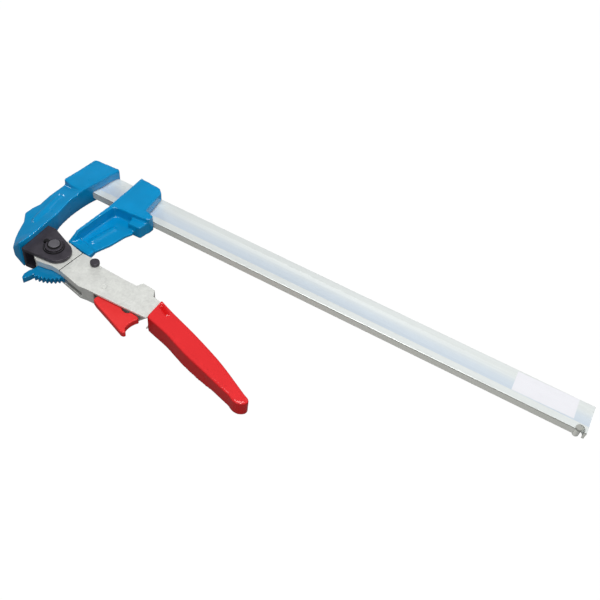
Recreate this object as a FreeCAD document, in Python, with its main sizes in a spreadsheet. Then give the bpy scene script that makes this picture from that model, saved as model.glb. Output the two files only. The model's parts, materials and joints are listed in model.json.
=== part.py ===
import FreeCAD, Part
import math
import os

# Quick release bar clamp, lying on its side, in millimetres.
# X runs along the bar to its free end, Y away from the jaw tips, Z up.
# The origin is on the underside, on the bar's centre line, where the fixed jaw's face meets the bar.

doc = FreeCAD.newDocument("BarClamp")

# Driving dimensions
SIZES = [
    # bar
    ("bar_width", 30.0),
    ("bar_thickness", 8.0),
    ("bar_reach", 492.0),
    ("bar_socket", 16.0),
    ("bar_hollow_width", 17.0),
    ("bar_hollow_depth", 0.7),
    ("stop_inset", 7.2),
    ("stop_pin_radius", 2.8),
    ("stop_hole_radius", 4.1),
    ("stop_pin_proud", 1.0),
    # fixed jaw
    ("jaw_height", 28.0),
    ("head_far_wall", 2.5),
    ("head_back", 24.0),
    ("head_front_near", 1.5),
    ("head_front_far", 8.0),
    ("arm_outer_height", 12.0),
    ("arm_root_lift", 6.5),
    ("tip_outer_height", 10.4),
    ("tip_face_set", -0.4),
    ("tip_height", 31.0),
    ("head_rivet_radius", 3.0),
    # sliding jaw
    ("slide_face", 30.5),
    ("slide_head_length", 29.0),
    ("slide_far_wall", 4.4),
    ("slide_gap", 0.3),
    ("rib_thickness", 3.6),
    ("web_top", 16.8),
    ("web_thickness", 3.2),
    ("nose_height", 18.6),
    ("block_top", 23.4),
    ("block_bottom", 9.6),
    ("grip_pin_radius", 1.9),
    # lever pivot and bracket
    ("pivot_along", 21.0),
    ("pivot_across", 94.2),
    ("pin_radius", 5.0),
    ("pin_clearance", 0.05),
    ("lever_thickness", 15.8),
    ("bracket_sheet", 3.5),
    ("bracket_web", 2.2),
    ("side_gap", 0.3),
    ("bracket_end_radius", 12.4),
    ("bracket_rivet_radius", 2.5),
    ("washer_radius", 8.8),
    ("washer_thickness", 0.7),
    ("washer_drift", 1.6),
    ("clip_radius", 7.6),
    ("clip_thickness", 0.9),
    ("pin_proud", 0.6),
    ("bush_wall", 2.0),
    # ratchet
    ("sector_thickness", 5.6),
    ("sector_drop", 1.8),
    ("tooth_tip_radius", 31.4),
    ("tooth_depth", 2.2),
    ("tooth_count", 9.0),
    ("sector_first_angle", -88.4),
    ("sector_last_angle", -29.0),
    ("hub_radius", 8.5),
    # lever, pawl, trigger and grip
    ("lever_sheet", 2.0),
    ("tongue_sheet", 1.0),
    ("stud_radius", 4.2),
    ("stud_height", 3.4),
    ("stud_shank_radius", 1.9),
    ("lever_rivet_radius", 2.0),
    ("rivet_skin", 0.6),
    ("trigger_along", 63.0),
    ("trigger_across", 11.8),
    ("trigger_pin_radius", 2.5),
    ("pawl_thickness", 3.0),
    ("trigger_thickness", 6.2),
    ("trigger_rise", 1.8),
    ("grip_start", 113.0),
    ("grip_coat", 0.8),
]

sheet = doc.addObject("Spreadsheet::Sheet", "Sizes")
for row, (alias, value) in enumerate(SIZES, start=1):
    sheet.set("A%d" % row, alias)
    sheet.set("B%d" % row, str(value))
    sheet.setAlias("B%d" % row, alias)
doc.recompute()


def size(alias):
    return float(sheet.get(alias))


PARTS = []


def keep(obj, label):
    obj.Label = label
    PARTS.append((obj, label))
    return obj


# Levels and places that follow from the driving dimensions
middle = size("jaw_height") / 2
bar_bottom = middle - size("bar_thickness") / 2
bar_top = middle + size("bar_thickness") / 2
half_bar = size("bar_width") / 2
pivot_x = size("pivot_along")
pivot_y = -size("pivot_across")
lever_low = middle - size("lever_thickness") / 2
lever_high = middle + size("lever_thickness") / 2
bracket_low = lever_low - size("side_gap") - size("bracket_sheet")
bracket_high = lever_high + size("side_gap") + size("bracket_sheet")
sector_low = middle - size("sector_drop") - size("sector_thickness") / 2
sector_high = sector_low + size("sector_thickness")
pawl_high = sector_high
pawl_low = pawl_high - size("pawl_thickness")

LEVER_LOW = "(Sizes.jaw_height - Sizes.lever_thickness) / 2"
SECTOR_LOW = "(Sizes.jaw_height - Sizes.sector_thickness) / 2 - Sizes.sector_drop"
PAWL_LOW = SECTOR_LOW + " + Sizes.sector_thickness - Sizes.pawl_thickness"
BRACKET_LOW = LEVER_LOW + " - Sizes.side_gap - Sizes.bracket_sheet"


def from_pivot(points):
    return [(pivot_x + u, pivot_y + v) for u, v in points]


def polar(radius, degrees):
    angle = math.radians(degrees)
    return (radius * math.cos(angle), radius * math.sin(angle))


def vec(point, z=0.0):
    return FreeCAD.Vector(point[0], point[1], z)


def edges_of(path):
    # A path is a list of points; an item ("arc", middle, end) or ("curve", [points]) bends to its end.
    edges = []
    here = path[0]
    for item in path[1:]:
        if item[0] == "arc":
            edges.append(Part.Arc(vec(here), vec(item[1]), vec(item[2])))
            here = item[2]
        elif item[0] == "curve":
            curve = Part.BSplineCurve()
            curve.interpolate([vec(here)] + [vec(point) for point in item[1]])
            edges.append(curve)
            here = item[1][-1]
        else:
            edges.append(Part.LineSegment(vec(here), vec(item)))
            here = item
    if math.dist(here, path[0]) > 1e-6:
        edges.append(Part.LineSegment(vec(here), vec(path[0])))
    return edges


def circle(centre, radius):
    return [Part.Circle(vec(centre), FreeCAD.Vector(0, 0, 1), radius)]


def prism(path, low, high):
    wire = Part.Wire([edge.toShape() for edge in edges_of(path)])
    face = Part.Face(wire)
    face.translate(FreeCAD.Vector(0, 0, low))
    return face.extrude(FreeCAD.Vector(0, 0, high - low))


def plane_of(body, role):
    for feature in body.Origin.OriginFeatures:
        if feature.Role == role:
            return feature
    raise ValueError(role)


def start_body(label):
    body = doc.addObject("PartDesign::Body", label)
    keep(body, label)
    return body


def sketch_on(body, name, loops, low):
    sketch = body.newObject("Sketcher::SketchObject", name)
    sketch.AttachmentSupport = [(plane_of(body, "XY_Plane"), "")]
    sketch.MapMode = "FlatFace"
    sketch.setExpression(".AttachmentOffset.Base.z", low)
    for loop in loops:
        for edge in loop:
            sketch.addGeometry(edge, False)
    return sketch


def pad(body, name, loops, low, height):
    feature = body.newObject("PartDesign::Pad", name)
    feature.Profile = sketch_on(body, name + "_sketch", loops, low)
    feature.setExpression("Length", height)
    doc.recompute()
    return feature


def pocket(body, name, loops, low, height):
    before = body.Shape.Volume
    feature = body.newObject("PartDesign::Pocket", name)
    feature.Profile = sketch_on(body, name + "_sketch", loops, low)
    feature.Reversed = True
    feature.setExpression("Length", height)
    doc.recompute()
    if not body.Shape.Volume < before - 0.01:
        raise ValueError(name + " removes nothing")
    return feature


def shape_part(label, shape):
    feature = doc.addObject("Part::Feature", label)
    feature.Shape = shape.removeSplitter()
    feature.Placement = FreeCAD.Placement()
    return keep(feature, label)


def cylinder_part(label, radius, height, x, y, z):
    feature = doc.addObject("Part::Cylinder", label)
    feature.setExpression("Radius", radius)
    feature.setExpression("Height", height)
    feature.setExpression(".Placement.Base.x", x)
    feature.setExpression(".Placement.Base.y", y)
    feature.setExpression(".Placement.Base.z", z)
    return keep(feature, label)


# Bar: a flat drawn section with a shallow hollow down both faces
def make_bar():
    body = start_body("bar")
    left = -size("bar_socket")
    right = size("bar_reach")
    outline = edges_of([(left, -half_bar), (right, -half_bar), (right, half_bar), (left, half_bar)])
    pad(body, "bar_blank", [outline], "(Sizes.jaw_height - Sizes.bar_thickness) / 2", "Sizes.bar_thickness")
    for name, face, side in (("bar_hollow_top", bar_top, 1), ("bar_hollow_bottom", bar_bottom, -1)):
        groove = body.newObject("Sketcher::SketchObject", name + "_sketch")
        groove.AttachmentSupport = [(plane_of(body, "YZ_Plane"), "")]
        groove.MapMode = "FlatFace"
        reach = size("bar_hollow_width") / 2
        deep = face - side * size("bar_hollow_depth")
        groove.addGeometry(Part.Arc(vec((-reach, face)), vec((0, deep)), vec((reach, face))), False)
        groove.addGeometry(Part.LineSegment(vec((reach, face)), vec((-reach, face))), False)
        cut = body.newObject("PartDesign::Pocket", name)
        cut.Profile = groove
        cut.Midplane = True
        cut.setExpression("Length", "2 * Sizes.bar_reach + 2")
        before = body.Shape.Volume
        doc.recompute()
        if not body.Shape.Volume < before:
            raise ValueError(name + " removes nothing")
    hole = circle((stop_hole_x, stop_hole_y), size("stop_hole_radius"))
    pocket(body, "bar_stop_hole", [hole], "0", "Sizes.jaw_height")
    holes = [circle(point, size("head_rivet_radius")) for point in head_rivet_points()]
    pocket(body, "bar_rivet_holes", holes, "0", "Sizes.jaw_height")


stop_hole_x = size("bar_reach") - size("stop_inset") + size("stop_hole_radius") - size("stop_pin_radius")
stop_hole_y = -half_bar - size("stop_pin_proud") + size("stop_pin_radius")


def head_rivet_points():
    x = -size("bar_socket") / 2
    y = size("bar_width") / 4
    return [(x, -y), (x, y)]


def make_stop_pin():
    cylinder_part(
        "bar_end_stop_pin",
        "Sizes.stop_pin_radius",
        "Sizes.bar_thickness + 2 * Sizes.stop_pin_proud",
        "Sizes.bar_reach - Sizes.stop_inset",
        "-Sizes.bar_width / 2 - Sizes.stop_pin_proud + Sizes.stop_pin_radius",
        "(Sizes.jaw_height - Sizes.bar_thickness) / 2 - Sizes.stop_pin_proud",
    )


# Fixed jaw: a thick head round the bar, then a wedge-shaped arm that widens into an ear before its tip
HEAD_STEP = 24.0
TIP_END = 19.0
ARM = [
    (26.4, 1.4, 16.0, 0.0, 28.0), (27.2, 2.8, HEAD_STEP, 0.0, 28.0), (28.6, 3.6, 44.0, 1.5, 28.0),
    (27.8, 1.6, 58.0, 3.6, 28.4), (30.0, 0.0, 65.5, 4.6, 29.2), (30.8, -0.4, 74.5, 1.0, 30.4),
]
TIP_OUTER = [(24.4, -10.8), (20.0, 1.0), (16.4, 9.0)]


def arm_section(across, inner, outer, low, high, outer_height):
    outer_low = middle - outer_height / 2 + 1.0
    corners = [(inner, low), (inner, high), (outer, outer_low + outer_height), (outer, outer_low)]
    points = [FreeCAD.Vector(x, across, z) for x, z in corners]
    return Part.makePolygon(points + points[:1])


def arm_sections():
    # The sections run from inside the head to the tip; the tip's three stand off the pivot.
    face = -size("tip_face_set")
    lift = size("arm_root_lift")
    height = size("tip_height")
    thick = size("arm_outer_height")
    sections = [arm_section(-across, -inner, -outer, lift + rise, top, thick) for outer, inner, across, rise, top in ARM]
    for outer, along in TIP_OUTER:
        sections.append(arm_section(pivot_y - along, face, -outer, 0.0, height, thick - 0.6))
    end = pivot_y - TIP_END
    sections.append(arm_section(end, face - 2.2, -10.4, 0.0, height, size("tip_outer_height")))
    return sections


def make_fixed_jaw():
    height = size("jaw_height")
    far = half_bar + size("head_far_wall")
    back = -size("head_back")
    near = size("head_front_near")
    outline = [
        (-3.0, -HEAD_STEP - 3.0),
        ("curve", [(-1.2, -18.0), (near, -8.0), (near + 2.4, 4.5), (size("head_front_far"), far - 2.0)]),
        (size("head_front_far") - 2.5, far),
        (back + 2.5, far - 1.5),
        (back, -4.0),
        (back - 3.2, -HEAD_STEP),
        (back + 8.0, -HEAD_STEP - 3.0),
    ]
    head = prism(outline, 0.0, height)
    relief = Part.makeBox(100.0, 60.0, size("arm_root_lift"), FreeCAD.Vector(-60.0, 9.0 - half_bar - 60.0, 0.0))
    head = head.cut(relief)
    arm = Part.makeLoft(arm_sections(), True, True)
    jaw = head.fuse(arm)
    socket = Part.makeBox(
        size("bar_socket") + 40.0,
        size("bar_width"),
        size("bar_thickness"),
        FreeCAD.Vector(-size("bar_socket"), -half_bar, bar_bottom),
    )
    jaw = jaw.cut(socket)
    for x, y in head_rivet_points():
        jaw = jaw.cut(Part.makeCylinder(size("head_rivet_radius"), height, FreeCAD.Vector(x, y, 0)))
    for y in bracket_rivet_rows():
        jaw = jaw.cut(across_pin(y))
    shape_part("fixed_jaw", jaw)


def make_head_rivets():
    for number, side in ((1, "-"), (2, "")):
        cylinder_part(
            "head_rivet_%d" % number,
            "Sizes.head_rivet_radius",
            "Sizes.jaw_height",
            "-Sizes.bar_socket / 2",
            side + "Sizes.bar_width / 4",
            "0",
        )


def bracket_rivet_rows():
    return [pivot_y + 9.0, pivot_y - 11.0]


def across_pin(y):
    start = FreeCAD.Vector(-size("tip_face_set") - 7.0, y, middle)
    length = 7.0 + size("bracket_web")
    return Part.makeCylinder(size("bracket_rivet_radius"), length, start, FreeCAD.Vector(1, 0, 0))


def make_bracket_rivets():
    for number, y in enumerate(bracket_rivet_rows(), start=1):
        shape_part("bracket_rivet_%d" % number, across_pin(y))


# Pivot bracket: a bent U of sheet whose web lies on the jaw's inner face
def make_bracket():
    body = start_body("pivot_bracket")
    back = -size("tip_face_set") - pivot_x
    web = back + size("bracket_web")
    radius = size("bracket_end_radius")
    centre = (6.3, -3.9)
    start = polar(radius, 60.0)
    middle_turn = polar(radius, -15.0)
    finish = polar(radius, -82.0)
    plate = from_pivot([(back, 15.8), (-12.2, 16.4), (centre[0] + start[0], centre[1] + start[1])])
    plate.append(
        (
            "arc",
            from_pivot([(centre[0] + middle_turn[0], centre[1] + middle_turn[1])])[0],
            from_pivot([(centre[0] + finish[0], centre[1] + finish[1])])[0],
        )
    )
    plate += from_pivot([(back, -18.8)])
    whole = "Sizes.lever_thickness + 2 * Sizes.side_gap + 2 * Sizes.bracket_sheet"
    pad(body, "bracket_blank", [edges_of(plate)], BRACKET_LOW, whole)
    inside = from_pivot([(web, -30.0), (60.0, -30.0), (60.0, 30.0), (web, 30.0)])
    gap_low = LEVER_LOW + " - Sizes.side_gap"
    pocket(body, "bracket_gap", [edges_of(inside)], gap_low, "Sizes.lever_thickness + 2 * Sizes.side_gap")
    hole = circle((pivot_x, pivot_y), size("pin_radius") + size("pin_clearance"))
    pocket(body, "bracket_pin_holes", [hole], "0", "Sizes.jaw_height")
    for number, y in enumerate(bracket_rivet_rows(), start=1):
        sketch = body.newObject("Sketcher::SketchObject", "bracket_rivet_hole_sketch_%d" % number)
        sketch.AttachmentSupport = [(plane_of(body, "YZ_Plane"), "")]
        sketch.MapMode = "FlatFace"
        sketch.addGeometry(circle((y, middle), size("bracket_rivet_radius"))[0], False)
        cut = body.newObject("PartDesign::Pocket", "bracket_rivet_hole_%d" % number)
        cut.Profile = sketch
        cut.Midplane = True
        cut.setExpression("Length", "4 * Sizes.bracket_web")
        doc.recompute()


def make_pivot_pin():
    ends = "Sizes.washer_thickness + Sizes.clip_thickness + Sizes.pin_proud"
    cylinder_part(
        "pivot_pin",
        "Sizes.pin_radius",
        "Sizes.lever_thickness + 2 * Sizes.side_gap + 2 * Sizes.bracket_sheet + 2 * (%s)" % ends,
        "Sizes.pivot_along",
        "-Sizes.pivot_across",
        BRACKET_LOW + " - (%s)" % ends,
    )


def ring(outer, inner, low, high, centre):
    base = FreeCAD.Vector(centre[0], centre[1], low)
    disc = Part.makeCylinder(outer, high - low, base)
    return disc.cut(Part.makeCylinder(inner, high - low, base))


def loose_ring(outer, hole, low, thick, centre):
    aside = polar(size("washer_drift"), -60.0)
    rim = Part.makeCylinder(outer, thick, FreeCAD.Vector(centre[0] + aside[0], centre[1] + aside[1], low))
    return rim.cut(Part.makeCylinder(hole, thick, FreeCAD.Vector(centre[0], centre[1], low)))


def make_washers_and_clips():
    centre = (pivot_x, pivot_y)
    hole = size("pin_radius") + size("pin_clearance")
    washer = size("washer_thickness")
    clip = size("clip_thickness")
    places = (("upper", bracket_high, bracket_high + washer), ("lower", bracket_low - washer, bracket_low))
    for name, low, high in places:
        shape_part("pivot_washer_" + name, loose_ring(size("washer_radius"), hole, low, washer, centre))
        clip_low = high if name == "upper" else low - clip
        shape = loose_ring(size("clip_radius"), size("pin_radius"), clip_low, clip, centre)
        mouth = Part.makeBox(20.0, 5.0, clip, FreeCAD.Vector(-20.0, -2.5, clip_low))
        mouth.rotate(FreeCAD.Vector(0, 0, 0), FreeCAD.Vector(0, 0, 1), -30.0)
        mouth.translate(vec(centre))
        shape_part("pivot_clip_" + name, shape.cut(mouth))


# Ratchet sector: a toothed plate on the pivot, held by its tail in the bracket's web
def sector_path():
    first = size("sector_first_angle")
    last = size("sector_last_angle")
    tip = size("tooth_tip_radius")
    root = tip - size("tooth_depth")
    count = int(round(size("tooth_count")))
    step = (last - first) / count
    path = [polar(root, first)]
    for number in range(count):
        start = first + number * step
        path.append(polar(tip, start + 0.45 * step))
        path.append(polar(tip, start + 0.7 * step))
        path.append(polar(root, start + step))
    hub = size("hub_radius")
    tail = 5.0
    web = -pivot_x - size("tip_face_set") + size("bracket_web")
    turn = math.degrees(math.asin(tail / hub))
    path.append(polar(hub, last))
    path.append(("arc", polar(hub, 70.0), polar(hub, 180.0 - turn)))
    path += [(web, tail), (web, -tail), polar(hub, 180.0 + turn)]
    path.append(("arc", polar(hub, 228.0), polar(hub, 250.0)))
    path += [(-3.3, -23.7), (-5.8, -28.3), (-6.6, -33.7), (-5.3, -37.6), (-3.4, -39.0), (-1.2, -34.6), (0.2, -30.6)]
    return path


def make_sector():
    body = start_body("ratchet_sector")
    path = [from_pivot([item])[0] if item[0] != "arc" else ("arc", *from_pivot(item[1:])) for item in sector_path()]
    pad(body, "sector_blank", [edges_of(path)], SECTOR_LOW, "Sizes.sector_thickness")
    hole = circle((pivot_x, pivot_y), size("pin_radius") + size("pin_clearance"))
    pocket(body, "sector_hole", [hole], "0", "Sizes.jaw_height")


# Lever head: two cheeks on the pivot, joined behind it, with tongues into the lever body
SEAM = [(19.9, -18.2), (23.2, 8.6)]
SEAM_GAP = 0.5


def make_lever_head():
    outline = [
        (-9.7, -16.6), (-3.6, -20.4), (5.0, -19.2), (11.0, -17.7), SEAM[0], SEAM[1],
        (3.7, 12.6), (-7.0, 11.2), (-12.5, 4.0), (-12.5, -12.0),
    ]
    body = prism(from_pivot(outline), lever_low, lever_high)
    sweep = size("tooth_tip_radius") + 2.0
    low = sector_low - size("side_gap")
    high = sector_high + size("side_gap")
    base = FreeCAD.Vector(pivot_x, pivot_y, low)
    slot = Part.makeCylinder(sweep, high - low, base)
    keep_zone = prism(from_pivot([(-10.5, 5.4), (14.5, 8.0), (14.5, 14.0), (-10.5, 14.0)]), low, high)
    hub = Part.makeCylinder(size("hub_radius") + size("side_gap"), high - low, base)
    slot = slot.cut(keep_zone.cut(hub))
    body = body.cut(slot)
    tongue = size("tongue_sheet")
    tongue_outline = [(14.0, -15.0), (41.0, -16.0), (41.0, 0.4), (36.0, 0.6), (14.0, 4.5)]
    sheet_gap = size("lever_sheet")
    for bottom in (lever_high - sheet_gap - tongue, lever_low + sheet_gap):
        body = body.fuse(prism(from_pivot(tongue_outline), bottom, bottom + tongue))
    bore = size("pin_radius") + size("pin_clearance") + size("bush_wall")
    body = body.cut(Part.makeCylinder(bore, size("jaw_height"), FreeCAD.Vector(pivot_x, pivot_y, 0)))
    for x, y in from_pivot(LEVER_RIVETS):
        body = body.cut(Part.makeCylinder(size("lever_rivet_radius"), size("jaw_height"), FreeCAD.Vector(x, y, 0)))
    shape_part("lever_head", body)


LEVER_RIVETS = [(38.0, -2.5), (38.0, -12.0)]


def make_bushes():
    inner = size("pin_radius") + size("pin_clearance")
    outer = inner + size("bush_wall")
    centre = (pivot_x, pivot_y)
    gap = size("side_gap")
    shape_part("pivot_bush_upper", ring(outer, inner, sector_high + gap, lever_high, centre))
    shape_part("pivot_bush_lower", ring(outer, inner, lever_low, sector_low - gap, centre))


# Lever body: a folded channel, open away from the bar, whose tail runs on inside the grip
LEVER_NEAR = [(111.7, -20.2), (52.0, -22.6), (45.0, -23.6)]
LEVER_FAR = [(36.0, 8.6), (45.5, 5.2), (73.0, 4.2), (85.2, 4.4), (87.6, 9.6), (95.0, 9.4), (100.9, 8.6), (104.0, 2.4)]
GRIP_NEAR = [(123.6, -22.4), (135.0, -25.2), (149.0, -30.2), (163.0, -35.0), (179.0, -39.4), (196.0, -44.3), (212.0, -48.6)]
GRIP_FAR = [(209.0, -34.7), (189.0, -25.2), (169.0, -17.4), (150.0, -10.8), (131.0, -4.8)]
GRIP_MOUTH = (-19.6, 1.8)
TAIL_INSET = 1.2
GRIP_END = [(217.5, -51.2), (221.0, -51.4), (227.6, -46.6), (222.4, -41.4)]


def inset(points, amount, centre_line):
    return [(u, v + amount if v < centre_line(u) else v - amount) for u, v in points]


def grip_middle(u):
    return -8.8 - (u - size("grip_start")) * 0.36


def tail_outline():
    start = size("grip_start")
    near = inset([(start, GRIP_MOUTH[0])] + GRIP_NEAR[:6], TAIL_INSET, grip_middle)
    far = inset(GRIP_FAR[1:] + [(start, GRIP_MOUTH[1])], TAIL_INSET, grip_middle)
    return near + [(198.0, -31.4)] + far


def make_lever_body():
    start = size("grip_start")
    seam = [(x + SEAM_GAP, y) for x, y in SEAM]
    outline = seam[:1] + LEVER_NEAR[::-1] + tail_outline() + LEVER_FAR[::-1] + seam[1:]
    body = prism(from_pivot(outline), lever_low, lever_high)
    sheet_size = size("lever_sheet")
    low = lever_low + sheet_size
    high = lever_high - sheet_size
    wall = sheet_size
    hollow = [
        (10.0, -14.6), (45.0, -23.6 + wall), (52.0, -22.6 + wall), (59.0, -22.3 + wall), (59.0, -34.0), (190.0, -60.0),
        (190.0, -29.0), (169.0, -17.4 - TAIL_INSET - wall), (131.0, -4.8 - TAIL_INSET - wall), (start, 0.6 - wall),
        (104.0, 2.4 - wall), (100.0, 4.0), (86.0, 4.2 - wall), (73.0, 4.2 - wall), (45.5, 5.2 - wall), (36.0, 8.6 - wall), (10.0, 8.6 - wall),
    ]
    body = body.cut(prism(from_pivot(hollow), low, high))
    gap = size("side_gap")
    slot = [(10.0, -30.0), (47.0, -30.0), (47.0, -18.0), (10.0, -10.0)]
    body = body.cut(prism(from_pivot(slot), sector_low - gap, sector_high + gap))
    mouth = LEVER_NEAR[0][0]
    setback = [(59.0, -34.0), (mouth, -34.0), (mouth, -7.0), (107.0, -7.0), (101.5, -17.2), (59.0, -18.4)]
    body = body.cut(prism(from_pivot(setback), lever_low, middle))
    skin = size("rivet_skin")
    for x, y in from_pivot(LEVER_RIVETS):
        base = FreeCAD.Vector(x, y, lever_low + skin)
        body = body.cut(Part.makeCylinder(size("lever_rivet_radius"), size("lever_thickness") - 2 * skin, base))
    x, y = from_pivot([STUD])[0]
    body = body.cut(Part.makeCylinder(size("stud_shank_radius"), size("jaw_height"), FreeCAD.Vector(x, y, 0)))
    x, y = from_pivot([(size("trigger_along"), -size("trigger_across"))])[0]
    body = body.cut(Part.makeCylinder(size("trigger_pin_radius"), size("jaw_height"), FreeCAD.Vector(x, y, 0)))
    shape_part("lever_body", body)


STUD = (40.6, 4.2)


def make_stud():
    x, y = from_pivot([STUD])[0]
    shank = Part.makeCylinder(
        size("stud_shank_radius"), size("lever_thickness"), FreeCAD.Vector(x, y, lever_low)
    )
    top = Part.makeCylinder(size("stud_radius"), size("stud_height"), FreeCAD.Vector(x, y, lever_high))
    bottom_height = size("stud_height") / 2
    bottom = Part.makeCylinder(size("stud_radius") * 0.8, bottom_height, FreeCAD.Vector(x, y, lever_low - bottom_height))
    shape_part("lever_stud", shank.fuse([top, bottom]))


def make_lever_rivets():
    skin = size("rivet_skin")
    depth = size("lever_sheet") + size("tongue_sheet") - skin
    for number, (x, y) in enumerate(from_pivot(LEVER_RIVETS), start=1):
        for name, low in (("upper", lever_high - skin - depth), ("lower", lever_low + skin)):
            rivet = Part.makeCylinder(size("lever_rivet_radius"), depth, FreeCAD.Vector(x, y, low))
            shape_part("lever_rivet_%s_%d" % (name, number), rivet)


def make_trigger_pin():
    cylinder_part(
        "trigger_pin",
        "Sizes.trigger_pin_radius",
        "Sizes.lever_thickness",
        "Sizes.pivot_along + Sizes.trigger_along",
        "-Sizes.pivot_across - Sizes.trigger_across",
        LEVER_LOW,
    )


def trigger_point():
    return from_pivot([(size("trigger_along"), -size("trigger_across"))])[0]


def make_trigger_spring():
    low = pawl_high + size("side_gap")
    high = lever_high - size("lever_sheet")
    inner = size("trigger_pin_radius")
    shape_part("trigger_spring", ring(inner + 1.3, inner, low, high, trigger_point()))


# Pawl and trigger: one rocking piece, its nose just clear of the tooth tips
PAWL = [
    (27.5, -16.6), (36.0, -17.6), (50.0, -17.6), (62.0, -17.2), (72.0, -24.0), (84.0, -28.0),
    (86.0, -22.0), (76.0, -14.0), (63.0, -6.6), (48.0, -10.6), (36.0, -11.6), (28.6, -14.4),
]
TRIGGER = [
    (63.0, -26.8), (67.3, -28.9), (85.6, -35.3), (102.4, -41.5), (104.6, -41.5), (106.2, -39.6), (103.1, -36.4),
    ("arc", (103.2, -31.0), (106.9, -22.8)), (104.5, -20.8), (96.6, -19.8), (95.5, -21.9), (93.4, -23.0), (90.0, -22.2),
    (86.6, -19.6), (80.0, -17.6), (64.0, -17.6), (62.6, -24.0),
]


def make_pawl():
    body = start_body("pawl")
    pad(body, "pawl_blank", [edges_of(from_pivot(PAWL))], PAWL_LOW, "Sizes.pawl_thickness")
    hole = circle(trigger_point(), size("trigger_pin_radius") + size("pin_clearance"))
    pocket(body, "pawl_hole", [hole], "0", "Sizes.jaw_height")


def make_trigger():
    body = start_body("trigger")
    low = "(Sizes.jaw_height - Sizes.trigger_thickness) / 2 + Sizes.trigger_rise"
    path = [("arc", *from_pivot(item[1:])) if item[0] == "arc" else from_pivot([item])[0] for item in TRIGGER]
    pad(body, "trigger_blank", [edges_of(path)], low, "Sizes.trigger_thickness")
    pocket(body, "trigger_slot", [edges_of(from_pivot(PAWL))], PAWL_LOW, "Sizes.pawl_thickness")


# Handle grip: a dipped sleeve over the lever's tail
def make_grip():
    start = size("grip_start")
    coat = size("grip_coat")
    curves = [GRIP_NEAR, GRIP_END, GRIP_FAR + [(start, GRIP_MOUTH[1])]]
    placed = from_pivot([(start, GRIP_MOUTH[0])])
    placed += [("curve", from_pivot(curve)) for curve in curves]
    grip = prism(placed, lever_low - coat, lever_high + coat)
    grip = grip.cut(prism(from_pivot(tail_outline()), lever_low, lever_high))
    shape_part("handle_grip", grip)


# Sliding jaw: head round the bar, tall pressing rib, thin web and a solid nose
def upright_section(across, left, right, low, high):
    corners = [(left, low), (left, high), (right, high), (right, low)]
    points = [FreeCAD.Vector(x, across, z) for x, z in corners]
    return Part.makePolygon(points + points[:1])


def make_sliding_jaw():
    height = size("jaw_height")
    face = size("slide_face")
    back = face + size("slide_head_length")
    far = half_bar + size("slide_far_wall")
    near = -half_bar
    head = prism(
        [
            (face - 0.9, near - 24.0), (face - 0.4, near - 14.0), (face + 0.3, far), (back - 6.0, far - 1.6),
            (back - 1.0, far - 6.0), (back + 1.4, near + 0.6), (back + 11.3, near - 2.0), (back + 10.8, near - 9.0),
            (face + 20.5, near - 11.0), (face + 12.6, near - 11.4),
            ("curve", [(face + 7.3, near - 12.3), (face + 4.6, near - 13.9), (face + 3.3, near - 16.5), (face + 2.7, near - 20.0)]),
        ],
        bar_bottom,
        height,
    )
    lower = prism(
        [(face - 0.4, near - 15.0), (face + 0.3, far), (back - 6.0, far - 1.6), (back - 4.0, near + 6.0), (face + 8.0, near - 9.0)],
        0.0,
        bar_bottom,
    )
    block = prism(
        [(back - 6.4, near - 8.0), (back + 11.0, near - 1.9), (back + 8.0, near - 18.4), (back - 5.0, near - 19.2)],
        size("block_bottom"),
        size("block_top"),
    )
    tip_y = pivot_y + 15.9
    rib_end = tip_y + 7.6
    rib = size("rib_thickness")
    rib_path = [(face - 0.4, near - 14.0), (face - 4.5, rib_end), (face - 5.3 + rib, rib_end), (face - 0.4 + rib, near - 14.0)]
    rib_solid = prism(rib_path, 0.0, height)
    web_low = size("web_top") - size("web_thickness")
    web = prism(
        [
            (face + 0.2, near - 14.0), (face - 4.0, rib_end + 2.0), (face + 17.4, tip_y + 1.0), (face + 19.2, tip_y + 6.9),
            (face + 24.2, near - 44.6), (face + 28.0, near - 28.8), (face + 31.4, near - 22.4), (face + 26.0, near - 9.0),
        ],
        web_low,
        size("web_top"),
    )
    nose_path = [
        (face - 4.5, rib_end), (face - 8.6, tip_y + 1.2), (face - 8.6, tip_y - 0.4), (face + 2.0, tip_y - 2.0),
        (face + 10.0, tip_y - 3.5), (face + 17.6, tip_y - 4.4), (face + 18.6, tip_y - 2.6), (face + 18.6, tip_y + 3.0),
        (face + 4.0, rib_end),
    ]
    nose = prism(nose_path, web_low, size("nose_height"))
    slope = Part.makeLoft(
        [
            upright_section(rib_end, face - 4.5, face - 5.3 + rib, 0.0, height),
            upright_section(tip_y + 0.6, face - 8.6, face - 4.6, web_low, size("nose_height")),
        ],
        True,
        True,
    )
    jaw = head.fuse([lower, block, rib_solid, web, nose, slope])
    gap = size("slide_gap")
    slot = Part.makeBox(
        200.0,
        size("bar_width") + 2 * gap,
        size("bar_thickness") + 2 * gap,
        FreeCAD.Vector(-50.0, -half_bar - gap, bar_bottom - gap),
    )
    jaw = jaw.cut(slot)
    for x, y in grip_pin_points():
        depth = bar_top - bar_bottom + 5.0
        jaw = jaw.cut(Part.makeCylinder(size("grip_pin_radius"), depth, FreeCAD.Vector(x, y, bar_bottom - 3.0)))
    shape_part("sliding_jaw", jaw)


def grip_pin_points():
    radius = size("grip_pin_radius")
    out = half_bar + size("slide_gap") + radius
    face = size("slide_face")
    return [(face + 33.0, -out), (face + 4.5, out)]


def make_grip_pins():
    for name, (x, y) in zip(("near", "far"), grip_pin_points()):
        low = bar_bottom - 3.0 if name == "far" else size("block_bottom")
        pin = Part.makeCylinder(size("grip_pin_radius"), bar_top + 2.0 - low, FreeCAD.Vector(x, y, low))
        shape_part("jaw_grip_pin_" + name, pin)


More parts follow.
